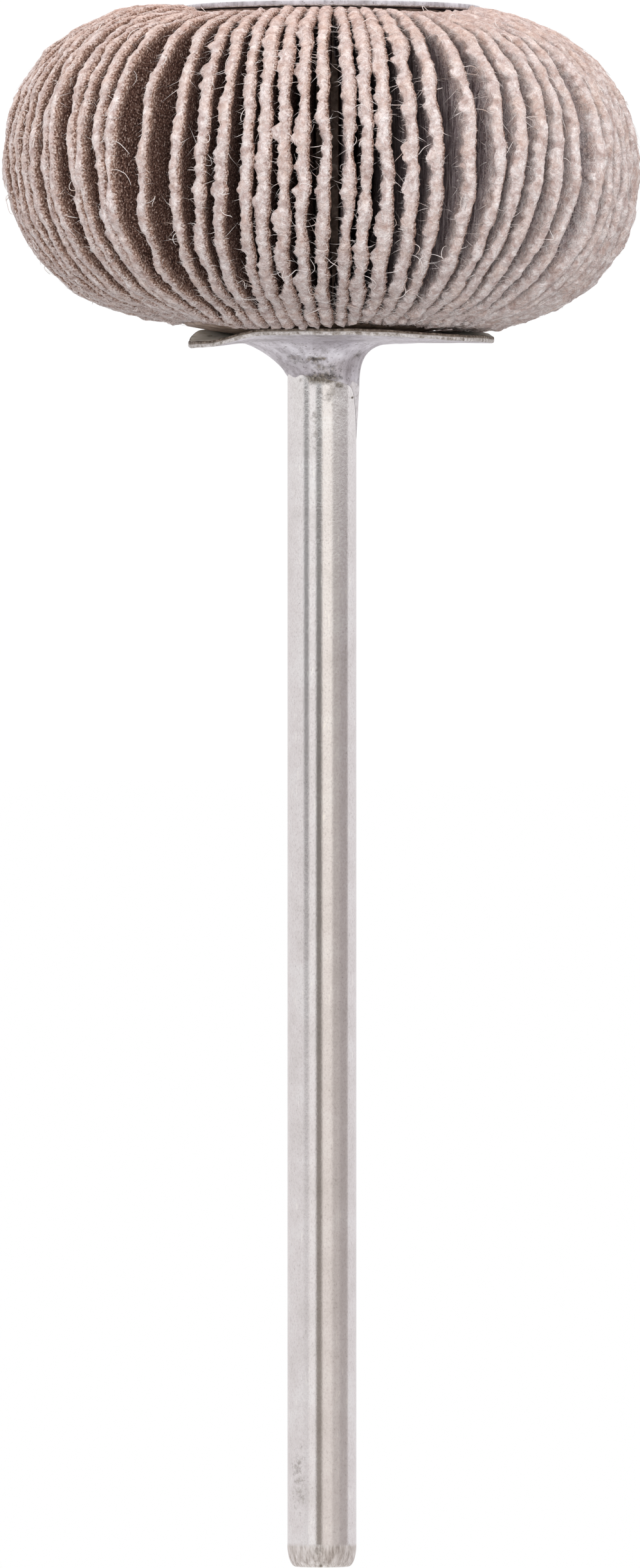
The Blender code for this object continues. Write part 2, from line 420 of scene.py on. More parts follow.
def flangeLift(angle):
    # How far the bent rim stands up from its lowest, which is at the back
    side = abs(angle)
    front = smoothStep(side, flange["frontLiftFade"])
    left = smoothStep(-angle, flange["leftLiftStart"]) * smoothStep(side, flange["leftLiftFade"])
    right = smoothStep(angle, flange["rightLiftStart"]) * front
    return flange["frontLift"] * front + flange["leftLift"] * left + flange["rightLift"] * right


def flangeSkin(angle):
    # The collar ends in a ragged skin of solder on the shank, longest at the right
    right = exp(-(angleBetween(angle, flange["skinAngle"]) / flange["skinSpread"]) ** 2)
    ragged = dentAt((cos(radians(angle)), sin(radians(angle)), 0), *flange["skinRagged"])
    return max(flange["skinShort"] + flange["skinLong"] * right + ragged, flange["skinLeast"])


def flangeSection(angle):
    # Points (radius, height, zone) of the pressed sheet at this angle.
    # Zone is 0 on the sheet, 1 on its sheared edge and 2 on the collar's end
    left = (1 - sin(radians(angle))) / 2
    shares = (left, left ** flange["collarPower"], left)
    reach, height, curve = (start + (end - start) * share for start, end, share
                            in zip(flange["collarRight"], flange["collarLeft"], shares))
    rim = rimReach(angle, flange["radius"], flange["shift"])
    lip = flange["bore"] + flange["collarLip"]
    foot = lip + reach
    inner, outer = flange["inner"], flange["inner"] + flange["thickness"]
    edge, bend = flange["edgeRound"], flange["collarBend"]
    section = [(flange["bore"] + bend * (1 - cos(turn)), inner + bend * (1 - sin(turn)), 0)
               for turn in quarterTurns(flange["bendSteps"])]
    steps = flange["slopeSteps"]
    section += [(foot + (rim - edge - foot) * step / steps, inner, 0) for step in range(steps)]
    section += [(*point, 1) for point in roundedRim(rim, inner, outer, edge, flange["edgeSteps"])]
    section += [(foot + (rim - 2 * edge - foot) * step / steps, outer, 0) for step in range(steps, 0, -1)]
    for turn in quarterTurns(flange["flareSteps"]):
        share = sin(turn) ** 2
        out = (1 - share) ** (1 / curve)
        up = share ** (1 / curve)
        section.append((lip + reach * out, outer + height * up, 0))
    section.append((flange["skinRadius"], outer + height + flangeSkin(angle), 2))
    sloped = []
    for radius, level, zone in section:
        bent = max((radius - foot) / (rim - foot), 0)
        drop = (flangeLift(angle) - flange["dish"]) * bent ** flange["slopePower"]
        sloped.append((radius, level + drop, zone))
    return sloped


def zincSheet(name):
    # Zinc plated mild steel, pressed: a cool, faintly lavender satin with darker rubbed streaks up the
    # collar, small brown rust specks, and a ragged brown line of flux and dirt where the collar ends
    material, shader, add, _, (cloud, streaks, grain, ragged) = startMaterial(
        name, ((1.6, 5, 0.6), (0.3, 4, 0.65, 0.18), (0.16, 3, 0.7), (0.45, 6, 0.75)),
        Metallic=0.75, Roughness=0.45)
    plating = add("ValToRGB", (cloud,), stops=((0.32, "b3adb1"), (0.5, "d6d2d8"), (0.66, "ebe8ee")))
    rubbed = add("ValToRGB", (streaks,), stops=((0.32, "a8a1a1"), (0.5, "f0eef0"), (0.62, "ffffff")))
    plating = add("Mix", {0: 0.6, 6: plating, 7: rubbed}, **multiply)
    fleck = add("ValToRGB", (grain,), stops=((0.32, "8d8680"), (0.42, "ffffff")))
    flecked = add("Mix", {0: 0.75, 6: plating, 7: fleck}, **multiply)
    soot = add("ValToRGB", (grain,), stops=((0.36, "2a2420"), (0.5, "5f554a"), (0.64, "9b9080")))
    surface, mask = soil(add, flecked, soot, ragged, (0.84, 1.12, 0, 0.9))
    feed(shader, {"Base Color": surface,
                  "Roughness": add("MapRange", (mask, 0, 1, 0.42, 0.8)),
                  "Metallic": add("MapRange", (mask, 0, 1, 0.75, 0.3)),
                  "Normal": add("Bump", {"Height": grain, "Strength": 0.5, "Distance": 0.02 * mm})})
    return material


def dullZinc(name):
    # The plating under the flange has never been rubbed: grey-green with dark brown spots. Its colour is
    # painted nearly white, as painted light in the dim hollow over the flaps
    return cloudyMaterial(name, (0.55, 4, 0.6), (
        (0.32, "6b5d55"), (0.4, "e0e2d8"), (0.5, "eef0e8"), (0.7, "fbfbf8")), Metallic=0, Roughness=0.6)


def solderSkin(name):
    # The last of the solder on the shank: a pale, nearly white skin with a few grey specks
    return cloudyMaterial(name, (0.2, 4, 0.7), (
        (0.3, "9b9290"), (0.42, "d9d4d5"), (0.6, "efecee")), Metallic=0.6, Roughness=0.4)


def shearedEdge(name):
    # Blanked edge of the sheet: dull grey steel in coarse torn grains, darker brown at its inner corner
    material, shader, add, _, (torn,) = startMaterial(name, ((0.2, 4, 0.7),), Metallic=0.4, Roughness=0.7)
    bare = add("ValToRGB", (torn,), stops=(
        (0.34, "857b73"), (0.43, "b0a8a2"), (0.52, "cbc5c3"), (0.62, "e4e0e0")))
    brown = add("ValToRGB", (torn,), stops=((0.34, "43372f"), (0.5, "75685d"), (0.64, "a3968a")))
    surface, _ = soil(add, bare, brown, torn, (1.02, 1.22))
    feed(shader, {"Base Color": surface,
                  "Normal": add("Bump", {"Height": torn, "Strength": 0.5, "Distance": 0.04 * mm})})
    return material


def buildFlange():
    first = flangeSection(0)
    bm = spinSection([point[:2] for point in first], flange["facets"], True)
    station = bm.verts.layers.int["station"]
    dirt = bm.verts.layers.float.new("dirt")
    last = len(first) - 1
    edgeStart = flange["bendSteps"] + 1 + flange["slopeSteps"]
    for vert in bm.verts:
        turn = atan2(vert.co.y, vert.co.x)
        angle = viewAngle(vert.co.x, vert.co.y)
        index = vert[station]
        radius, height, zone = flangeSection(angle)[index]
        place = roundPoint(radius, turn, height)
        dent = dentAt(place, *flange["dents"])
        if zone == 1:
            outwards, upwards = (dentAt(place, *kind) for kind in flange["torn"])
            radius += outwards
            dent += upwards
        vert.co = roundPoint(radius, turn, height + dent)
        # The collar's end gathers dirt; the edge's inner corner is made dark brown, and the rim's crease a
        # little darker towards the front
        if zone == 1:
            vert[dirt] = 1 if index - edgeStart <= flange["edgeSteps"] else 0
        elif index > last - flange["flareSteps"]:
            vert[dirt] = stainAt(angle, height, flange["stains"])
        else:
            facing = exp(-(angle / flange["creaseSpread"]) ** 2)
            crease = exp(-((radius - flange["creaseRadius"]) / flange["creaseWidth"]) ** 2)
            vert[dirt] = flange["creaseDarkening"] * crease * facing
    bmesh.ops.recalc_face_normals(bm, faces=bm.faces)
    for face in bm.faces:
        stations = [vert[station] for vert in face.verts]
        if min(first[index][2] for index in stations) == 1:
            face.material_index = 1
        elif max(stations) <= edgeStart:
            face.material_index = 2
        elif min(stations) == last - 1:
            middle = face.calc_center_median()
            aside = abs(angleBetween(viewAngle(middle.x, middle.y), flange["skinAngle"]))
            face.material_index = 3 if aside < 2 * flange["skinSpread"] else 0
    finishPiece(bm, "rear_flange_sheet", "rear_flange",
                [zincSheet("zinc plated steel, pressed"), shearedEdge("mild steel, blanked edge"),
                 dullZinc("zinc plated steel, dusty inner side"),
                 solderSkin("tin lead solder, wiped thin")], 50)


buildFlange()
print("rear flange ready")


disc = {
    "radius": 6.9,
    "thickness": 0.25,
    "shift": 0.45,
    "edgeRound": 0.06,
    "edgeSteps": 4,
    "torn": (0.004, 0.3, 2),
    "gap": 0.25,
    "facets": 200,
    "rings": 12,
}


def buildDisc():
    edge, radius, thick = disc["edgeRound"], disc["radius"], disc["thickness"]
    rings = [(radius - 3 * edge) * step / disc["rings"] for step in range(disc["rings"] + 1)]
    section = [(reach, 0) for reach in rings]
    section += roundedRim(radius, 0, thick, edge, disc["edgeSteps"])
    section += [(reach, thick) for reach in reversed(rings)]
    bm = spinSection(section, disc["facets"], False)
    bm.verts.layers.float.new("dirt")
    for vert in bm.verts:
        if hypot(vert.co.x, vert.co.y) > radius - 2 * edge:
            vert.co.xy *= 1 + dentAt(vert.co, *disc["torn"])
    bmesh.ops.translate(bm, verts=bm.verts, vec=(-disc["shift"], 0, 0))
    for face in bm.faces:
        middle = face.calc_center_median()
        # The edge and the corner that shows look cut
        if middle.z > thick * 0.55 and hypot(middle.x + disc["shift"], middle.y) > radius - 2 * edge:
            face.material_index = 1
    finishPiece(bm, "front_disc_sheet", "front_disc",
                [zincSheet("zinc plated steel, flat"), shearedEdge("mild steel, cut edge")], 50)


buildDisc()
print("front disc ready")


shank = {
    "radius": 1.6,
    "start": 1.3,
    "startChamfer": 0.3,
    "length": 72.5,
    "tipLength": 1.0,
    "tipDepth": 0.38,
    "tipSteps": 14,
    "tipRings": (0.6, 0.4, 0.2, 0),
    "facets": 128,
    # Rings of vertices from one height to another, close together where there are stains
    "rings": ((1.6, 16.6, 5), (16.6, 19.4, 28), (19.4, 65.5, 30), (65.5, 71.5, 30)),
    # Soiled places as angle, spread of it, height, spread of it and amount
    "stains": (
        (0, 46, 17.35, 0.36, 0.7),
        (30, 13, 17.65, 0.3, 0.66),
        (18, 24, 18.1, 0.9, 0.45),
        (-10, 14, 19.6, 2.2, 0.42),
        (62, 7, 18.2, 0.1, 0.8),
        (68, 3, 17.9, 0.3, 0.6),
        (-44, 26, 68.4, 2.6, 0.43),
        (-5, 10, 71.7, 0.5, 0.5),
        (-2, 6, 72.4, 0.3, 0.6),
    ),
}


def groundSteel(name):
    # Carbon steel rod, centreless ground: a bright grey that mirrors in soft strips, with a fine grain
    # of 0.1 mm, short pale handling scratches, and brown stain below the collar and near the end
    material, shader, add, coords, (cloud, grain, wave, cuts, ragged) = startMaterial(
        name, ((1.8, 6, 0.65), (0.1, 4, 0.75, 0.75), (0.7, 3, 0.6, 0.75), (0.13, 3, 0.7, 0.15),
               (0.35, 6, 0.75)), Metallic=1, Roughness=0.16)
    body = add("ValToRGB", (cloud,), stops=((0.34, "ebe8e7"), (0.5, "f3f0f0"), (0.64, "f8f7f7")))
    speck = add("ValToRGB", (grain,), stops=((0.28, "8a8280"), (0.4, "e9e6e6"), (0.56, "ffffff")))
    specked = add("Mix", {0: 0.45, 6: body, 7: speck}, **multiply)
    # Handling scratches: short pale strokes 0.05 mm wide, kept to a few patches
    leaning = add("Mapping", {"Vector": coords, "Rotation": (0, radians(24), 0), "Scale": (1, 0.3, 0.12)})
    strokes = add("TexNoise", {"Vector": leaning, "Scale": perMetre(0.09), "Detail": 1, "Roughness": 0.5},
                  take="Fac")
    scratch = add("Math", (add("MapRange", (strokes, 0.66, 0.7)), add("MapRange", (cloud, 0.49, 0.58))),
                  operation="MULTIPLY")
    specked = add("Mix", {0: scratch, 6: specked, 7: toLinear("fffdfa")}, **colourMix)
    # The rounded end is turned: duller, with fine streaks along the shank
    level = add("SeparateXYZ", (coords,), take="Z")
    end = add("MapRange", (level, 71.38 * mm, 71.56 * mm))
    turned = add("ValToRGB", (cuts,), stops=((0.32, "b5aca6"), (0.5, "dfd9d5"), (0.66, "f6f2f0")))
    specked = add("Mix", {0: end, 6: specked, 7: turned}, **colourMix)
    stain = add("ValToRGB", (grain,), stops=((0.35, "39312a"), (0.52, "7b7264"), (0.66, "b5ab9c")))
    surface, mask = soil(add, specked, stain, ragged, (0.84, 1.15, 0, 0.9))
    matt = add("Math", (mask, end), operation="MAXIMUM")
    # Soft waves where the steel was heated, just below the collar
    heated = add("MapRange", (level, 17 * mm, 22 * mm, 4, 0.3))
    wavy = add("Math", (wave, heated, grain), operation="MULTIPLY_ADD")
    feed(shader, {"Base Color": surface,
                  "Roughness": add("MapRange", (matt, 0, 1, 0.13, 0.55)),
                  "Normal": add("Bump", {"Height": wavy, "Strength": 0.9, "Distance": 0.003 * mm})})
    return material


def buildShank():
    radius, length = shank["radius"], shank["length"]
    section = [(0, shank["start"]), (radius - shank["startChamfer"], shank["start"])]
    for low, high, count in shank["rings"]:
        section += [(radius, low + (high - low) * step / count) for step in range(count)]
    deep, tall = shank["tipDepth"], shank["tipLength"]
    section += [(radius - deep * (1 - cos(turn)), length - tall * (1 - sin(turn)))
                for turn in quarterTurns(shank["tipSteps"])]
    section += [(radius * share, length) for share in shank["tipRings"]]
    bm = spinSection(section, shank["facets"], False)
    dirt = bm.verts.layers.float.new("dirt")
    for vert in bm.verts:
        vert[dirt] = stainAt(viewAngle(vert.co.x, vert.co.y), vert.co.z, shank["stains"])
    steel = groundSteel("carbon steel, centreless ground")
    finishPiece(bm, "shank_rod", "shank", [steel], 40)


buildShank()
print("shank ready")


flaps = {
    "count": 78,
    "firstAngle": -62.4,
    "perPiece": 13,
    "hubRadius": 6.4,
    "wheelRadius": 14.85,
    "shoulderRadius": 5.95,
    "roundness": 2.17,
    "tipLand": 1.5,
    "tilt": 1.2,
    "width": 15,
    "front": -0.08,
    "benchClearance": 0.04,
    "thickness": 0.42,
    "lengthWear": 0.16,
    "sway": 0.07,
    "slant": 0.14,
    "bow": 0.4,
    "bendPower": 1.4,
    "rootFill": 0.88,
    "tipFill": 0.3,
    "seed": 30,
    # Shift towards -X and slant of the tips that show at the front, from the first flap on
    "frontLeans": (
        (0.05, 0), (-0.45, 0.35), (0.05, 0.35), (-0.65, 0), (-0.55, 0.1), (-1.05, -0.4),
        (-0.3, -0.65), (0.35, -0.5), (0.4, -0.6), (0.3, -0.55), (0.3, -0.25), (0, -0.3),
        (-0.35, -0.2), (-0.65, -0.15), (-0.85, 0), (-0.9, -0.2), (-1.25, -0.1), (-1.5, 0.15),
        (-1.45, 0.15), (-1.45, -0.05), (-0.9, -0.2), (-0.55, -0.6), (-0.55, -1), (-0.35, -1.25),
        (-0.3, -0.95), (-0.15, -0.65), (0.75, -0.35), (0.75, -0.25),
    ),
    # Openings between the others, as angle and width at the tips
    "partings": (
        (57, 1.6), (79, 0.4), (101, 0.6), (123, 0.45), (146, 0.8), (171, 0.5), (-164, 0.7),
        (-139, 0.45), (-118, 0.75), (-91, 0.5),
    ),
    "partingReach": 8,
    # Fineness of the mesh along the worn outline, and what the sheet ends in under the flange
    "steps": 200,
    "outlineSteps": 40,
    "rootDepth": 0.2,
    "rootNarrow": 0.6,
    # Frayed edge: its half width, then each kind of unevenness as its most and its size
    "edgeHalf": 0.31,
    "fluffy": (1.2, 1),
    "swell": (0.26, 1.4),
    "lump": (0.11, 0.38),
    "curl": (0.15, 0.19),
    "tuft": (0.56, 0.6),
    "wander": (0.18, 2.2),
    "nibble": (0.12, 1.3),
    "matted": (0.3, 0.5),
    # What a fluffier flap swells by, what a tuft has to pass, and how thick matted ends are at least
    "fluffySwell": 0.052,
    "tuftLevel": 0.0896,
    "mattedLeast": 0.1,
    # The abrasive side wears straighter: what it keeps of its lumps and tufts
    "grittyLumps": 0.7,
    "grittyTufts": 0.3,
    # How deep the fraying goes on the abrasive and the cloth side, and how nibbles and wander die out
    "frayDepth": (0.45, 0.9),
    "nibbleFade": 0.8,
    "wanderFade": 2.5,
    "lowest": 0.03,
    # Ends that hang or are worn off, each followed by the angles between which it sets in and fades
    "droop": (0.3, (35, -10), (-52, -34)),
    "rightLift": (0.16, (4, 24), (80, 60)),
    "leftCut": (0.15, (-42, -62), (-176, -150)),
    "frontWear": (0.31, (-66, -47), (66, 47)),
    "frontWearLeft": (0.13, (-10, -30), (-66, -47)),
    # Slope, distance from the axis and height between which each of them sets in
    "mattedSlope": (-0.55, -0.95),
    "mattedReach": (12.5, 10),
    "droopReach": (9.6, 8.2),
    "droopHeight": (13.2, 14.4),
    "cutHeight": (13.7, 14.5),
    "wearReach": (12.5, 9),
    "wearHeight": (4, 1.5),
}

wheelMiddle = flaps["front"] + flaps["width"] / 2

# Rows over a flap from its abrasive face round the frayed edge to its cloth back, as depth below the
# edge or angle round it, side, share of lint, and the most of the way to the root that a row goes
flapRows = (
    ("face", 12, -1, 0, 1),
    ("face", 3.2, -1, 0, 0.6),
    ("face", 1.4, -1, 0, 0.3),
    ("face", 0.62, -1, 0, 0.15),
    ("face", 0.28, -1, 0.04, 0.07),
    ("edge", -62, -1, 0.12, 0),
    ("edge", -20, -1, 0.62, 0),
    ("edge", 20, 1, 1, 0),
    ("edge", 62, 1, 1, 0),
    ("face", 0.28, 1, 0.85, 0.07),
    ("face", 0.62, 1, 0.5, 0.15),
    ("face", 1.4, 1, 0.15, 0.3),
    ("face", 3.2, 1, 0, 0.6),
    ("face", 12, 1, 0, 1),
)


def flapEdge(angle, radius, side):
    # Height of the dressed edge at this radius, on the front (-1) or rear (1) side
    shoulder, power = flaps["shoulderRadius"], flaps["roundness"]
    share = min(max((radius - shoulder) / (flaps["wheelRadius"] - shoulder), 0), 1)
    half = flaps["width"] / 2 * (1 - share ** power) ** (1 / power)
    tilt = tan(radians(flaps["tilt"])) * sin(radians(angle))
    return wheelMiddle + radius * tilt + side * max(half, flaps["tipLand"] / 2)


def flapSide(angle, tip, side, seat, seatHeight, gap):
    # Points (radius, height) from under the disc or flange out to the flap's tip
    start = max(seat + gap, flaps["hubRadius"] + gap)
    wall = start + gap
    points = [(flaps["hubRadius"], seatHeight), (start, seatHeight)]
    for turn in quarterTurns(flaps["outlineSteps"]):
        reach = sin(turn)
        unworn = wall + (flaps["wheelRadius"] - wall) * reach
        height = max(flapEdge(angle, unworn, side), flaps["benchClearance"])
        points.append((wall + (tip - wall) * reach, height))
    return points


def flapStations(angle, tip):
    # Even steps along the flap's worn outline, from the front root round to the rear root
    discRim = rimReach(angle, disc["radius"], disc["shift"])
    front = flapSide(angle, tip, -1, discRim, disc["thickness"] + disc["gap"], disc["gap"])
    flangeRim = rimReach(angle, flange["radius"], flange["shift"])
    room = flange["inner"] - flange["dish"] + flangeLift(angle) - flange["gap"]
    under = min(room, flapEdge(angle, flangeRim, 1))
    rear = flapSide(angle, tip, 1, flangeRim, under, flange["gap"])
    line = [Vector(point) for point in front + rear[::-1]]
    lengths = [0]
    for a, b in zip(line, line[1:]):
        lengths.append(lengths[-1] + (b - a).length)
    rootRadius = flaps["hubRadius"] - flaps["rootDepth"]
    stations, at = [], 0
    for step in range(flaps["steps"] + 1):
        want = lengths[-1] * step / flaps["steps"]
        while at < len(line) - 2 and lengths[at + 1] < want:
            at += 1
        span = max(lengths[at + 1] - lengths[at], 1e-9)
        edge = line[at].lerp(line[at + 1], (want - lengths[at]) / span)
        root = Vector((rootRadius, wheelMiddle + (edge.y - wheelMiddle) * flaps["rootNarrow"]))
        stations.append((want, edge, (root - edge).normalized(), (root - edge).length))
    return stations


def flapLean(index, angle, chance):
    # Shift and slant of a flap's tip towards -X, measured at the front and pushed by partings elsewhere
    if index < len(flaps["frontLeans"]):
        return flaps["frontLeans"][index]
    shift = flaps["sway"] * chance.uniform(-1, 1)
    for place, opening in flaps["partings"]:
        away = angleBetween(angle, place)
        shift += copysign(opening / 2, away) * exp(-abs(away) / flaps["partingReach"])
    return shift, flaps["slant"] * chance.uniform(-1, 1)


def wornOff(name, facing):
    # How far this wear has gone at this angle
    amount, setsIn, fades = flaps[name]
    return amount * smoothStep(facing, setsIn) * smoothStep(facing, fades)


def uneven(name, along, across, seed):
    return dentAt((along, across, 0), *flaps[name], seed)


def growFlap(bm, index, chance, layers):
    # One flap: a grid wrapped as a hairpin over the worn outline, closed at its root
    angle = flaps["firstAngle"] + 360 * index / flaps["count"]
    heading = radians(-90 - angle)
    tip = flaps["wheelRadius"] - flaps["lengthWear"] * chance.random()
    shift, slant = flapLean(index, angle, chance)
    stations = flapStations(angle, tip)
    last = flaps["steps"]
    seed = index * 7.31
    flangeRim = rimReach(angle, flange["radius"], flange["shift"])
    fluffy = 1 + uneven("fluffy", index * 0.37, 0, 5)
    facing = angleBetween(angle, 0)
    droop = wornOff("droop", facing) - wornOff("rightLift", facing)
    cut = wornOff("leftCut", facing)
    worn = wornOff("frontWear", facing) + wornOff("frontWearLeft", facing)
    edgeLine = []
    made = bmesh.ops.create_grid(bm, x_segments=last, y_segments=len(flapRows) - 1, size=1)["verts"]
    for vert in made:
        step = round((vert.co.x + 1) / 2 * last)
        row = round((vert.co.y + 1) / 2 * (len(flapRows) - 1))
        kind, amount, side, lint, most = flapRows[row]
        along, edge, inward, room = stations[step]
        lumps = uneven("swell", along, side, seed + 7) + flaps["fluffySwell"] * (fluffy - 1)
        lumps += uneven("lump", along, row * 0.15, seed) + uneven("curl", along, row * 0.13, seed + 3)
        tufts = fluffy * max(uneven("tuft", along, side * 2, seed + 11) - flaps["tuftLevel"], 0)
        if side < 0:
            lumps *= flaps["grittyLumps"]
            tufts *= flaps["grittyTufts"]
        # Beside the flange the frayed ends are matted together
        matted = smoothStep(inward.y, flaps["mattedSlope"]) * smoothStep(edge.x, flaps["mattedReach"])
        lumps += matted * (flaps["mattedLeast"] + uneven("matted", along, row * 0.3, seed + 19))
        if kind == "edge":
            half = flaps["edgeHalf"] + lumps + tufts * 0.5
            depth = half * (1 - cos(radians(amount)))
            reach = half * sin(radians(amount))
        else:
            depth = min(amount, room * most)
            swell = exp(-(depth / flaps["frayDepth"][side > 0]) ** 2)
            sheet = flaps["thickness"] / 2
            reach = side * (sheet + (flaps["edgeHalf"] - sheet + lumps + tufts) * swell)
        nibble = uneven("nibble", along, 0, seed + 23) + lumps * 0.5
        radius, height = edge + inward * (depth - nibble * exp(-depth / flaps["nibbleFade"]))
        # Outside the flange the lint hangs right up to its rim at the front left
        outside = smoothStep(radius - flangeRim, (0.1, 0.4)) * smoothStep(radius, flaps["droopReach"])
        drooped = droop * outside * smoothStep(height, flaps["droopHeight"])
        height += drooped - cut * smoothStep(height, flaps["cutHeight"])
        # The front edges are worn back, so that the disc's rim shows over them
        height += worn * smoothStep(radius, flaps["wearReach"]) * smoothStep(height, flaps["wearHeight"])
        height = max(height, flaps["lowest"])
        bent = max((radius - flaps["hubRadius"]) / (flaps["wheelRadius"] - flaps["hubRadius"]), 0)
        rise = (height - wheelMiddle) / (flaps["width"] / 2)
        lean = (shift + slant * rise + flaps["bow"] * (1 - rise * rise)) * bent ** flaps["bendPower"]
        wander = uneven("wander", along, 0, seed + 41) * exp(-depth / flaps["wanderFade"])
        limit = flaps["rootFill"] * pi / flaps["count"] * radius + bent * flaps["tipFill"]
        reach = max(min(reach, limit), -limit)
        if step in (0, last) or most == 1:
            reach = 0
        turn = heading + (reach + wander * bent - lean) / radius
        vert.co = roundPoint(radius, turn, height)
        vert[layers["depth"]] = depth
        vert[layers["lint"]] = lint
        vert[layers["cloth"]] = 0.5 + side * 0.5
        if row == len(flapRows) // 2 - 1:
            outward = roundPoint(-inward.x, turn, -inward.y)
            edgeLine.append((step, vert.co.copy(), outward, Vector((-sin(turn), cos(turn), 0))))
    return [item[1:] for item in sorted(edgeLine, key=lambda item: item[0])]


def abrasiveCloth(name):
    # Cotton cloth coated with brown aluminium oxide grit, worn back to pink-white lint along its edge.
    # The coat reads as a dark brown with paler grains, the back as a grey-mauve weave of fine cords
    material, shader, add, coords, (grain, weave, lumps, patches) = startMaterial(
        name, ((0.09, 2, 0.55), (0.16, 3, 0.65, 0.12), (0.45, 5, 0.7), (1.1, 4, 0.7)),
        Roughness=0.95, Specular_IOR_Level=0.2)
    depth, lint, cloth = (add("Attribute", take="Fac", attribute_name=layer)
                          for layer in ("depth", "lint", "cloth"))
    # Grit: grains of 0.09 mm in a dark brown bond, rubbed pale and orange within 1 mm of the edge
    grit = add("ValToRGB", (grain,), stops=(
        (0.34, "321f1a"), (0.47, "583e35"), (0.57, "7b5d51"), (0.63, "9f8478"), (0.7, "dccbc2")))
    rubbed = add("ValToRGB", (grain,), stops=(
        (0.34, "6a4d41"), (0.45, "8e7063"), (0.55, "af9182"), (0.68, "dccabf")))
    wear = add("MapRange", (depth, 0.05, 0.6, 1, 0))
    grit = add("Mix", {0: wear, 6: grit, 7: rubbed}, **colourMix)
    # Cloth back: cords 0.16 mm wide that run along the wheel's width
    back = add("ValToRGB", (weave,), stops=(
        (0.34, "5a4c4e"), (0.46, "85777a"), (0.55, "a7999c"), (0.68, "ddd1d3")))
    faces = add("Mix", {0: cloth, 6: grit, 7: back}, **colourMix)
    # Painted light: the faces deep between the flaps are painted a pale tan, so that the narrow gaps,
    # which little light reaches, read lighter
    deep = add("MapRange", (depth, 2.6, 6))
    faces = add("Mix", {0: deep, 6: faces, 7: toLinear("d6c0b2")}, **colourMix)
    # Lint: soft lumps of 0.45 mm
    fluff = add("ValToRGB", (lumps,), stops=(
        (0.33, "b9a5a0"), (0.44, "d3c4c1"), (0.54, "e4dad8"), (0.66, "f1eae9")))
    # Grit dust tints the lint in patches, and the lint is tinted more towards the front disc
    height = add("SeparateXYZ", (coords,), take="Z")
    near = add("MapRange", (height, 1 * mm, 8 * mm, 0.14, 0))
    dusty = add("MapRange", (add("Math", (patches, near), operation="ADD"), 0.48, 0.78, 0, 0.42))
    fluff = add("Mix", {0: dusty, 6: fluff, 7: toLinear("dcbba6")}, **colourMix)
    # Matted hairs: thin pale curls 0.06 mm wide, two layers of them, with soft hollows between
    strands = []
    for size, shift in ((0.36, 0), (0.5, 3)):
        moved = add("Mapping", {"Vector": coords, "Location": (shift * mm, 0, 0)})
        hairs = add("TexNoise", {"Vector": moved, "Scale": perMetre(size), "Detail": 2, "Roughness": 0.5,
                                 "Distortion": 1.2}, take="Fac")
        away = add("Math", (add("Math", (hairs, 0.5), operation="SUBTRACT"),), operation="ABSOLUTE")
        strands.append(add("MapRange", (away, 0, 0.07, 1, 0)))
    strand = add("Math", strands, operation="MAXIMUM")
    shade = add("ValToRGB", (strand,), stops=((0, "dfd4d1"), (0.5, "f0eae9"), (1, "ffffff")))
    fluff = add("Mix", {0: 0.85, 6: fluff, 7: shade}, **multiply)
    # The grit's grains fray the line between the lint and the faces
    off = add("Math", (grain, 0.5), operation="SUBTRACT")
    mask = add("MapRange", (add("Math", (off, 1.1, lint), operation="MULTIPLY_ADD"), 0.15, 0.65))
    sharp = add("MapRange", (mask, 0, 1, 1, 0.25))
    relief = add("Math", (sharp, grain, strand), operation="MULTIPLY_ADD")
    feed(shader, {"Base Color": add("Mix", {0: mask, 6: faces, 7: fluff}, **colourMix),
                  "Normal": add("Bump", {"Height": relief, "Strength": 0.6, "Distance": 0.05 * mm})})
    return material


def buildFlaps():
    cloth = abrasiveCloth("aluminium oxide abrasive cloth, worn to lint")
    chance = random.Random(flaps["seed"])
    edges, pieces = [], []
    for first in range(0, flaps["count"], flaps["perPiece"]):
        bm = bmesh.new()
        layers = {name: bm.verts.layers.float.new(name) for name in ("depth", "lint", "cloth")}
        for index in range(first, first + flaps["perPiece"]):
            edges.append(growFlap(bm, index, chance, layers))
        name = "flaps_%02d_to_%02d" % (first + 1, first + flaps["perPiece"])
        # A flap is open where it is buried, so it keeps its grid's own winding
        bmesh.ops.reverse_faces(bm, faces=bm.faces)
        pieces.append(finishPiece(bm, name, "flap_pack", [cloth], wound=True))
    return edges, pieces


flapEdges, flapPieces = buildFlaps()
print("flaps ready")


# The hub is the ring of bonded flap roots
hub = {
    "radius": 6.38,
    "front": 0.3,
    "rear": 14.84,
    "crown": ((5.2, 15.04), (3.4, 15.27)),
    "bore": 1.65,
    "boreFloor": 1.25,
    "edge": 0.1,
    "ridges": 0.006,
    "facets": 160,
    "rings": 16,
}


def castResin(name):
    # Epoxy poured round the imported roots of the flaps, slightly glossy. The resin is dark brown, but its
    # colour is painted much paler, as painted light on the strip that the flange shades
    material, shader, add, _, (cloud,) = startMaterial(name, ((0.6, 5, 0.7),), Roughness=0.6)
    colour = add("ValToRGB", (cloud,), stops=((0.35, "6b564a"), (0.55, "a58d7f"), (0.72, "d3bfb1")))
    feed(shader, {"Base Color": colour,
                  "Normal": add("Bump", {"Height": cloud, "Strength": 0.6, "Distance": 0.1 * mm})})
    return material


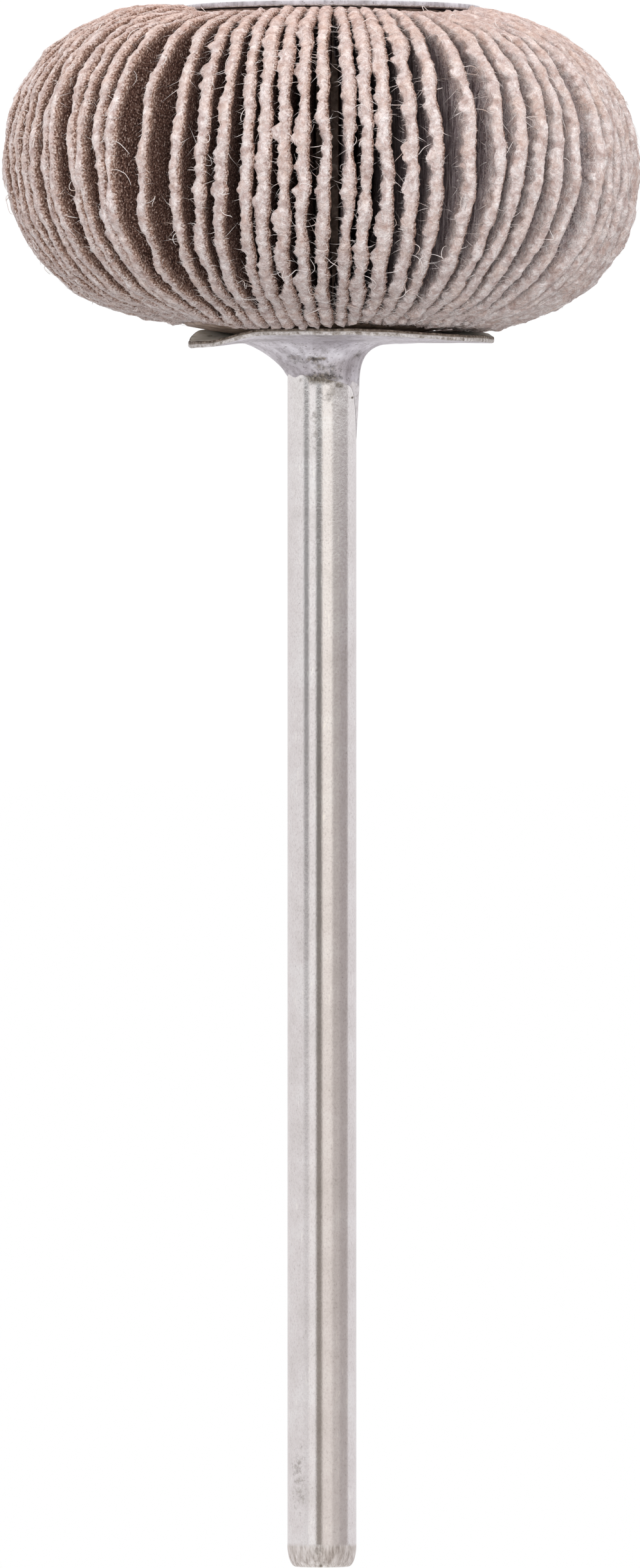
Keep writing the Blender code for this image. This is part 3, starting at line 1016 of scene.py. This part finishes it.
def buildHub():
    edge, radius, bore = hub["edge"], hub["radius"], hub["bore"]
    low, high = hub["front"] + edge, hub["rear"] - edge
    section = [(0, hub["front"]), (radius - edge, hub["front"])]
    section += [(radius, low + (high - low) * step / hub["rings"]) for step in range(hub["rings"] + 1)]
    section += [(radius - edge, hub["rear"]), *hub["crown"], (bore, hub["crown"][-1][1]),
                (bore, hub["boreFloor"]), (0, hub["boreFloor"])]
    bm = spinSection(section, hub["facets"], False)
    for vert in bm.verts:
        if hypot(vert.co.x, vert.co.y) > radius - 0.01:
            vert.co.xy *= 1 + hub["ridges"] * cos(atan2(vert.co.y, vert.co.x) * flaps["count"])
    finishPiece(bm, "hub_core", "flap_pack", [castResin("epoxy resin, cast")], 40)


buildHub()
print("hub ready")


# Loose lint: short fuzz on every edge, and longer curly threads in the gaps
lint = {
    "seed": 11,
    "fuzzPerFlap": 820,
    "fuzzLength": (0.16, 0.7),
    "fuzzShort": 2.2,
    "fuzzMatted": 1.5,
    "fuzzLift": (-0.2, 0.6),
    "fuzzThick": 0.032,
    "fuzzBend": 1.1,
    "woolly": 0.3,
    "threadsPerFlap": 6,
    "threadLength": (0.7, 2.2),
    "threadThick": 0.034,
    "threadStep": 0.12,
    "threadCurl": 2.4,
    "threadRise": 0.12,
    "proud": 1.01,
    "lowest": 0.06,
}


def cottonLint(name):
    # Loose cotton fibre, pulled: matt, pinkish white, a few hairs rust-tinted by grit dust
    return cloudyMaterial(name, (0.9, 3, 0.6), (
        (0.34, "d3bdb1"), (0.44, "e0d5d1"), (0.62, "f0e9e7")), Roughness=0.9, Specular_IOR_Level=0.2)


def keepInside(point):
    # A fibre may stand only a little proud of the flaps' worn outline
    reach = hypot(point.x, point.y)
    room = flaps["wheelRadius"] - flaps["shoulderRadius"]
    middle = wheelMiddle - point.x * tan(radians(flaps["tilt"]))
    power = flaps["roundness"]
    share = max(reach - flaps["shoulderRadius"], 0) / room
    rise = (point.z - middle) / (flaps["width"] / 2)
    over = (share ** power + abs(rise) ** power) ** (1 / power)
    if over > lint["proud"]:
        inside = lint["proud"] / over
        point.z = middle + (point.z - middle) * inside
        point.xy *= 1 - share * (1 - inside) * room / reach
    point.z = max(point.z, lint["lowest"])
    return point


def fuzzShapes():
    # Two pointed hairs of length 1 along Z to copy: a straight one, and one that bends halfway
    shapes = []
    for bend in (0, lint["fuzzBend"]):
        bm = bmesh.new()
        bmesh.ops.create_cone(bm, cap_ends=True, segments=3, radius1=0.5, radius2=0, depth=1)
        bmesh.ops.remove_doubles(bm, verts=bm.verts, dist=0.001)
        bmesh.ops.translate(bm, verts=bm.verts, vec=(0, 0, 0.5))
        if bend:
            bmesh.ops.bisect_plane(bm, geom=bm.verts[:] + bm.edges[:] + bm.faces[:],
                                   plane_co=(0, 0, 0.5), plane_no=(0, 0, 1))
        mesh = toMesh(bm, "hair")
        shapes.append((mesh, [tuple(vert.co) for vert in mesh.vertices], bend))
    return shapes


def looseWay(chance):
    return Vector((chance.uniform(-1, 1), chance.uniform(-1, 1), chance.uniform(-1, 1)))


def growFuzz(bm, cloth, shapes, chance):
    # Hairs start on the worn part of the flaps, where their mesh says that there is lint
    share = [item.value for item in cloth.attributes["lint"].data]
    woolly = [face for face in cloth.polygons
              if sum(share[index] for index in face.vertices) > lint["woolly"] * len(face.vertices)]
    shortest, longest = lint["fuzzLength"]
    squash = (2 * flaps["wheelRadius"] / flaps["width"]) ** 2
    # It is thickest beside the flange
    thick = [1 + lint["fuzzMatted"] * smoothStep(face.center.z / mm, (13, 14.4)) for face in woolly]
    for face in chance.choices(woolly, thick, k=flaps["perPiece"] * lint["fuzzPerFlap"]):
        normal = face.normal.copy()
        # Hairs lie flat at the wheel's outside and reach into the gaps between the flaps
        place = face.center / mm
        out = Vector((place.x, place.y, (place.z - wheelMiddle) * squash)).normalized()
        heading = normal * chance.uniform(*lint["fuzzLift"]) + looseWay(chance)
        heading = (heading - out * max(heading.dot(out), 0) * 0.9).normalized()
        mesh, points, bend = chance.choice(shapes)
        length = shortest
        if bend:
            length += (longest - shortest) * chance.random() ** lint["fuzzShort"]
        start = place - normal * 0.02
        side = heading.orthogonal().normalized() * lint["fuzzThick"]
        other = heading.cross(side)
        curve = looseWay(chance) * bend * length
        curve -= out * max(curve.dot(out), 0)
        placed = []
        for x, y, z in points:
            placed.extend(keepInside(start + side * x + other * y + heading * z * length + curve * z * z))
        mesh.vertices.foreach_set("co", placed)
        bm.from_mesh(mesh)


def growThread(curve, line, chance):
    place, outward, across = line[chance.randrange(12, len(line) - 12)]
    axial = across.cross(outward)
    heading = across * chance.choice((-1, 1)) + axial * chance.uniform(-1.2, 1.2)
    heading = (heading + outward * chance.uniform(-0.8, 0)).normalized()
    twist = looseWay(chance)
    length = chance.uniform(*lint["threadLength"])
    point = place - outward * 0.05
    points = [point.copy()]
    for _ in range(max(int(length / lint["threadStep"]), 4)):
        turned = heading.cross(twist) * lint["threadCurl"] * lint["threadStep"]
        heading = (heading + turned).normalized()
        twist = twist + looseWay(chance) * 0.35
        point = point + heading * lint["threadStep"]
        # Threads lie in the gaps and hardly rise above the wheel's outline
        above = (point - place).dot(outward) - lint["threadRise"]
        point = point - outward * max(above, 0)
        points.append(keepInside(point.copy()))
    # Thickest in the middle, finer at both ends
    spline = curve.splines.new("POLY")
    last = len(points) - 1
    spline.points.add(last)
    for index, point in enumerate(points):
        spline.points[index].co = (*point, 1)
        spline.points[index].radius = lint["threadThick"] / 2 * (1 - 0.55 * (2 * index / last - 1) ** 2)


def growThreads(name, material, chance):
    # The curve is only a tool: its tubes become the piece's mesh
    curve = bpy.data.curves.new("threads", "CURVE")
    curve.dimensions = "3D"
    curve.bevel_depth = 1
    curve.bevel_resolution = 0
    curve.use_fill_caps = True
    for line in flapEdges:
        for _ in range(lint["threadsPerFlap"]):
            growThread(curve, line, chance)
    tool = addObject(name + "_tool", curve)
    mesh = bpy.data.meshes.new_from_object(tool.evaluated_get(bpy.context.evaluated_depsgraph_get()))
    mesh.name = name
    mesh.materials.clear()
    bpy.data.objects.remove(tool, do_unlink=True)
    bpy.data.curves.remove(curve)
    dressPiece(mesh, name, "flap_pack", [material])


def buildLint():
    chance = random.Random(lint["seed"])
    cotton = cottonLint("cotton fibre, loose")
    shapes = fuzzShapes()
    for piece in flapPieces:
        bm = bmesh.new()
        growFuzz(bm, piece.data, shapes, chance)
        name = piece.name.replace("flaps", "fuzz")
        dressPiece(toMesh(bm, name), name, "flap_pack", [cotton])
    for mesh, _, _ in shapes:
        bpy.data.meshes.remove(mesh)
    growThreads("loose_threads", cotton, chance)


buildLint()
print("lint ready")
